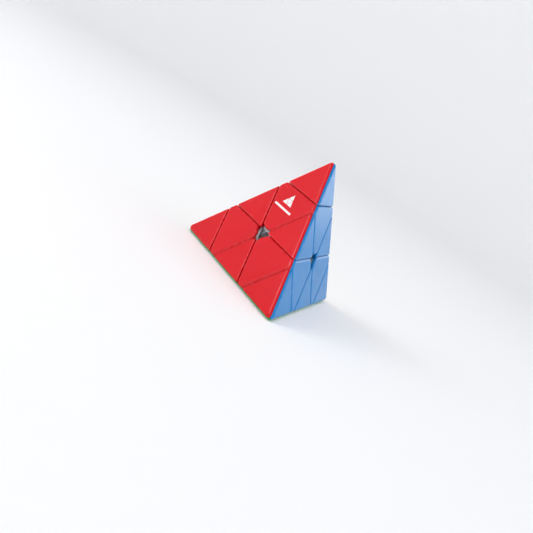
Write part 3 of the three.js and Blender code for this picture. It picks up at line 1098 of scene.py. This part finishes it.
class PUZZLE_OT_edges(bpy.types.Operator):
    """Model the six edge pieces: coloured shells and grey feet"""

    bl_idname = "puzzle.edges"
    bl_label = "Edge pieces"

    def execute(self, context):
        shape = context.scene.puzzle_shape
        place_along_edges(finished_mesh(edge_shell(shape)))
        foot = finished_mesh(edge_moulding(shape))
        for one, two in edge_pairs():
            place(foot, edge_frame(one, two), f"edge_{one}_{two}_foot", "grey")
        return {"FINISHED"}


class PUZZLE_OT_core(bpy.types.Operator):
    """Model the core and the screw and spring on each turn axis"""

    bl_idname = "puzzle.core"
    bl_label = "Core, screws and springs"

    def execute(self, context):
        place(finished_mesh(core_moulding()), Matrix(), "core_spider", "grey")
        place_on_corners(finished_mesh(screw_metal()), "screw_{}", "steel")
        place_on_corners(finished_mesh(spring_metal()), "spring_{}", "steel")
        return {"FINISHED"}


class PUZZLE_OT_mark(bpy.types.Operator):
    """Print a plain mark on the red face of the top centre piece"""

    bl_idname = "puzzle.mark"
    bl_label = "Printed mark"

    def execute(self, context):
        normal = -AXES["back"]
        towards_top = in_face(normal, AXES["top"])
        to_face = Matrix((towards_top.cross(normal), towards_top, normal)).transposed().to_4x4()
        mark = finished_mesh(printed_mark(context.scene.puzzle_mark))
        mark.transform(Matrix.Scale(MM, 4) @ to_face @ Matrix.Translation((0, 0, FACE)))
        piece = mesh_object("mark_piece", mark)
        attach(piece, "top_layer")
        finish(piece, "ink")
        return {"FINISHED"}


class PUZZLE_OT_stage(bpy.types.Operator):
    """Build the floor, the lights and the camera"""

    bl_idname = "puzzle.stage"
    bl_label = "Stage"

    def execute(self, context):
        stage = context.scene.puzzle_stage
        build_floor()
        build_surround(stage)
        build_lights(stage)
        build_camera(stage)
        return {"FINISHED"}


# --- Stage ----------------------------------------------------------------------------------------


def build_floor():
    """A pale floor that curves up into a wall all round, and lets views from below through."""
    bm = bmesh.new()
    bend = [
        Vector((BOWL_FLAT + BOWL_BEND * math.sin(turn), 0, BOWL_BEND * (1 - math.cos(turn))))
        for turn in (step * math.pi / 2 / BOWL_STEPS for step in range(BOWL_STEPS + 1))
    ]
    profile = [bm.verts.new(point) for point in [Vector(), *bend, bend[-1] + UP * BOWL_WALL]]
    edges = [bm.edges.new(pair) for pair in zip(profile, profile[1:])]
    outline = profile + edges
    bmesh.ops.spin(bm, geom=outline, axis=UP, cent=(0, 0, 0), angle=2 * math.pi, steps=BOWL_TURNS)
    bmesh.ops.remove_doubles(bm, verts=bm.verts, dist=1e-4)
    bmesh.ops.recalc_face_normals(bm, faces=bm.faces)
    bmesh.ops.translate(bm, verts=bm.verts, vec=UP * -(FACE * MM + BOWL_DROP))
    if next(face for face in bm.faces if face.calc_center_median().z < 0).normal.z < 0:
        bmesh.ops.reverse_faces(bm, faces=bm.faces)
    floor = bmesh_object("floor", bm)
    floor.data.shade_smooth()
    floor.data.materials.append(floor_material())


def floor_material():
    """Matt paper, clear from behind and to the shortest rays."""
    material, tree, shader = new_material("pale_paper")
    shader.inputs["Base Color"].default_value = PAPER
    shader.inputs["Roughness"].default_value = 0.8
    shader.inputs["Specular IOR Level"].default_value = 0
    behind = add(tree, "ShaderNodeNewGeometry", {}).outputs["Backfacing"]
    length = add(tree, "ShaderNodeLightPath", {}).outputs["Ray Length"]
    near = add(tree, "ShaderNodeMath", {0: length, 1: BOWL_NEAR}, operation="LESS_THAN")
    through = add(tree, "ShaderNodeMath", {0: behind, 1: near.outputs["Value"]}, operation="MAXIMUM")
    clear = add(tree, "ShaderNodeBsdfTransparent", {}).outputs["BSDF"]
    shaders = {0: through.outputs["Value"], 1: shader.outputs["BSDF"], 2: clear}
    mix = add(tree, "ShaderNodeMixShader", shaders)
    tree.links.new(mix.outputs["Shader"], tree.nodes["Material Output"].inputs["Surface"])
    return material


def area_light(name, towards, distance, size, power, unseen):
    """A softbox that looks at the puzzle from a direction, and is left out of some kinds of light."""
    data = bpy.data.lights.new(name, "AREA")
    data.shape = "RECTANGLE"
    data.size, data.size_y = size
    data.energy = power
    light = bpy.data.objects.new(name, data)
    light.location = Vector(towards).normalized() * distance
    light.rotation_mode = "QUATERNION"
    light.rotation_quaternion = Vector(towards).to_track_quat("Z", "Y")
    for kind in ("camera", *unseen):
        setattr(light, f"visible_{kind}", False)
    bpy.context.scene.collection.objects.link(light)


def build_surround(stage):
    """An even surround that is dimmer overhead."""
    world = bpy.data.worlds.new("surround")
    world.use_nodes = True
    tree = world.node_tree
    coordinates = add(tree, "ShaderNodeTexCoord", {})
    split = add(tree, "ShaderNodeSeparateXYZ", {0: coordinates.outputs["Generated"]})
    fall = add(
        tree,
        "ShaderNodeMapRange",
        {
            "Value": split.outputs["Z"],
            "From Min": 0.3,
            "From Max": 0.8,
            "To Min": stage.surround,
            "To Max": stage.overhead,
        },
        interpolation_type="SMOOTHSTEP",
    )
    background = tree.nodes["Background"]
    background.inputs["Color"].default_value = DAYLIGHT
    tree.links.new(fall.outputs["Result"], background.inputs["Strength"])
    bpy.context.scene.world = world
    bpy.context.scene.view_settings.view_transform = "Standard"


def build_lights(stage):
    """A key softbox, a low strip that shows in the blue face, and two fills."""
    area_light("key", KEY_TOWARDS, 1.0, (0.45, 0.45), stage.key, [])
    area_light("strip", STRIP_TOWARDS, 1.0, (0.8, 0.3), stage.strip, ["diffuse"])
    area_light("side fill", -AXES["left"], 1.2, (1.0, 1.0), stage.side, ["glossy"])
    area_light("top fill", UP, 1.5, (1.5, 1.5), stage.top, ["glossy"])


def build_camera(stage):
    """A camera given by its angles round the aim point."""
    sin, cos = math.sin, math.cos
    back = Vector(
        (
            sin(stage.azimuth) * cos(stage.elevation),
            -cos(stage.azimuth) * cos(stage.elevation),
            sin(stage.elevation),
        )
    )
    right = Vector((cos(stage.azimuth), sin(stage.azimuth), 0))
    upright = Matrix((right, back.cross(right), back)).transposed().to_4x4()
    data = bpy.data.cameras.new("camera")
    data.lens = stage.lens
    data.clip_start = 0.01
    camera = bpy.data.objects.new("camera", data)
    place_at = Matrix.Translation(Vector(stage.aim) + back * stage.distance)
    camera.matrix_world = place_at @ upright @ Matrix.Rotation(stage.roll, 4, "Z")
    bpy.context.scene.collection.objects.link(camera)
    bpy.context.scene.camera = camera


class PUZZLE_PT_panel(bpy.types.Panel):
    """The puzzle's settings and steps"""

    bl_label = "Twisty puzzle"
    bl_idname = "PUZZLE_PT_panel"
    bl_space_type = "VIEW_3D"
    bl_region_type = "UI"
    bl_category = "Puzzle"

    def draw(self, context):
        for group in GROUPS:
            settings = getattr(context.scene, group)
            box = self.layout.box()
            for name in settings.__annotations__:
                box.prop(settings, name)
        for step in STEPS:
            self.layout.operator(step.bl_idname)


GROUPS = {
    "puzzle_shape": PuzzleShape,
    "puzzle_colours": PuzzleColours,
    "puzzle_mark": PuzzleMark,
    "puzzle_stage": PuzzleStage,
}
STEPS = (
    PUZZLE_OT_tips,
    PUZZLE_OT_centres,
    PUZZLE_OT_edges,
    PUZZLE_OT_core,
    PUZZLE_OT_mark,
    PUZZLE_OT_stage,
)
CLASSES = (*GROUPS.values(), *STEPS, PUZZLE_PT_panel)


def register():
    """Registers the classes and puts the settings on the scene."""
    for each in CLASSES:
        bpy.utils.register_class(each)
    for name, group in GROUPS.items():
        setattr(bpy.types.Scene, name, bpy.props.PointerProperty(type=group))


def unregister():
    """Takes away what register added."""
    for name in GROUPS:
        delattr(bpy.types.Scene, name)
    for each in reversed(CLASSES):
        bpy.utils.unregister_class(each)


def main():
    """Builds the whole puzzle and its stage."""
    register()
    bpy.ops.puzzle.tips()
    bpy.ops.puzzle.centres()
    bpy.ops.puzzle.edges()
    bpy.ops.puzzle.core()
    bpy.ops.puzzle.mark()
    bpy.ops.puzzle.stage()


if __name__ == "__main__":
    main()
